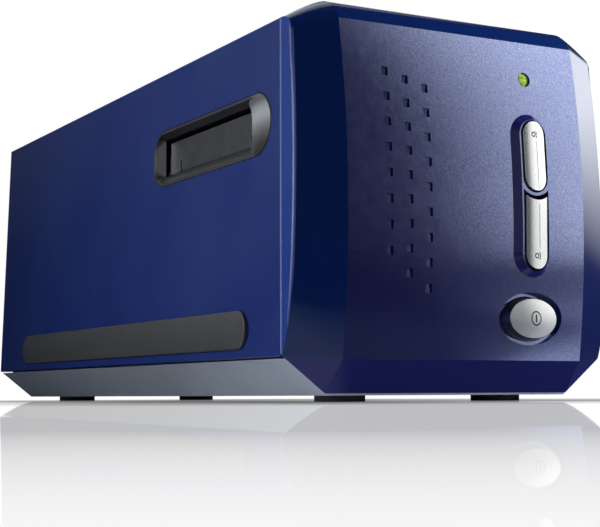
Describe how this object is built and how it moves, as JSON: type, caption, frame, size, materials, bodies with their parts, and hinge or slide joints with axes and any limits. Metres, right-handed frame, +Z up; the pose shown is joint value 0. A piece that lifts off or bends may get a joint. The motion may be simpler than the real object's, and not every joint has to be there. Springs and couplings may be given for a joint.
{
  "type": "film_scanner",
  "caption": "Desktop film and slide scanner: blue housing with a slot through its sides, sprung dust flaps, raised scan buttons, oval power button and a lead-screw carriage inside",
  "frame": {"origin": "on the table, under the middle of the scanner", "axes": "+X to the right seen from the front, +Y to the rear, +Z up"},
  "size_m": [0.1184, 0.2746, 0.1185],
  "materials": {
    "cover_blue": "satin lacquered blue plastic",
    "bezel_blue": "fine textured blue plastic with smooth edges",
    "tray_grey": "metallic grey plastic",
    "rear_plastic": "matt dark grey plastic",
    "button_silver": "silver painted plastic",
    "led_green": "clear green light pipe",
    "inlet_black": "dark grey moulded plastic",
    "flap_black": "dark grey moulded plastic",
    "steel": "ground steel",
    "strip_grey": "dark grey satin plastic",
    "foot_rubber": "matt black rubber",
    "screw_steel": "zinc plated steel",
    "guide_black": "matt black plastic",
    "chassis_metal": "zinc plated sheet",
    "carriage_plastic": "matt grey plastic",
    "lamp_white": "white plastic",
    "diffuser_white": "milky plastic",
    "mirror_glass": "front silvered glass",
    "lens_black": "black anodised metal",
    "board_green": "green circuit board",
    "gear_white": "white plastic",
    "nut_brass": "turned brass",
    "motor_steel": "steel can",
    "socket_metal": "nickel plated sheet",
    "jack_black": "black plastic"
  },
  "bodies": {
    "housing": {"top_cover": "cover_blue", "rear_panel": "rear_plastic", "base_tray": "tray_grey", "front_bezel": "bezel_blue", "led_lens": "led_green", "left_inlet_frame": "inlet_black", "right_inlet_frame": "inlet_black", "left_flap_pin": "steel", "right_flap_pin": "steel", "left_flap_spring": "steel", "right_flap_spring": "steel", "left_side_strip": "strip_grey", "right_side_strip": "strip_grey", "rubber_feet": "foot_rubber", "base_screws": "screw_steel", "film_guide_lower": "guide_black", "film_guide_upper": "guide_black", "chassis": "chassis_metal", "chassis_screws": "screw_steel", "guide_rods": "steel", "stepper_motor": "motor_steel", "main_board": "board_green", "usb_socket": "socket_metal", "power_jack": "jack_black", "button_board": "board_green", "tact_switches": "jack_black"},
    "left_flap_body": {"left_flap": "flap_black"},
    "right_flap_body": {"right_flap": "flap_black"},
    "upper_button_body": {"scan_button_upper": "button_silver"},
    "lower_button_body": {"scan_button_lower": "button_silver"},
    "power_button_body": {"power_button": "button_silver"},
    "carriage_body": {"carriage": "carriage_plastic", "lamp_housing": "lamp_white", "lamp_diffuser": "diffuser_white", "mirror": "mirror_glass", "lens_barrel": "lens_black", "sensor_board": "board_green", "screw_nut": "nut_brass"},
    "lead_screw_body": {"lead_screw": "steel", "drive_gear": "gear_white"},
    "pinion_body": {"motor_pinion": "nut_brass"}
  },
  "joints": [
    {"name": "left_flap_swing", "type": "hinge", "parent": "housing", "child": "left_flap_body", "pos_m": [-0.05156, -0.06465, 0.0783], "axis": [0, 1, 0], "range_deg": [0, 90], "stiffness_Nm_per_rad": 0.0001, "springref_deg": -20.05},
    {"name": "right_flap_swing", "type": "hinge", "parent": "housing", "child": "right_flap_body", "pos_m": [0.05156, -0.06465, 0.0783], "axis": [0, -1, 0], "range_deg": [0, 90], "stiffness_Nm_per_rad": 0.0001, "springref_deg": -20.05},
    {"name": "upper_button_press", "type": "slide", "parent": "housing", "child": "upper_button_body", "axis": [0, 1, 0], "range_m": [0, 0.0008], "stiffness_N_per_m": 300, "springref_m": -0.002},
    {"name": "lower_button_press", "type": "slide", "parent": "housing", "child": "lower_button_body", "axis": [0, 1, 0], "range_m": [0, 0.0008], "stiffness_N_per_m": 300, "springref_m": -0.002},
    {"name": "power_button_press", "type": "slide", "parent": "housing", "child": "power_button_body", "axis": [0, 1, 0], "range_m": [0, 0.0015], "stiffness_N_per_m": 300, "springref_m": -0.002},
    {"name": "carriage_travel", "type": "slide", "parent": "housing", "child": "carriage_body", "axis": [0, 1, 0], "range_m": [0, 0.028]},
    {"name": "lead_screw_turn", "type": "hinge", "parent": "housing", "child": "lead_screw_body", "pos_m": [0.014, 0.07735, 0.03], "axis": [0, 1, 0], "continuous": true},
    {"name": "motor_pinion_turn", "type": "hinge", "parent": "housing", "child": "pinion_body", "pos_m": [-0.0005, 0.08385, 0.03], "axis": [0, 1, 0], "continuous": true}
  ],
  "couplings": [
    {"joint": "lead_screw_turn", "follows": "carriage_travel", "rad_per_m": 1570.8},
    {"joint": "motor_pinion_turn", "follows": "carriage_travel", "rad_per_m": -3141.6}
  ]
}
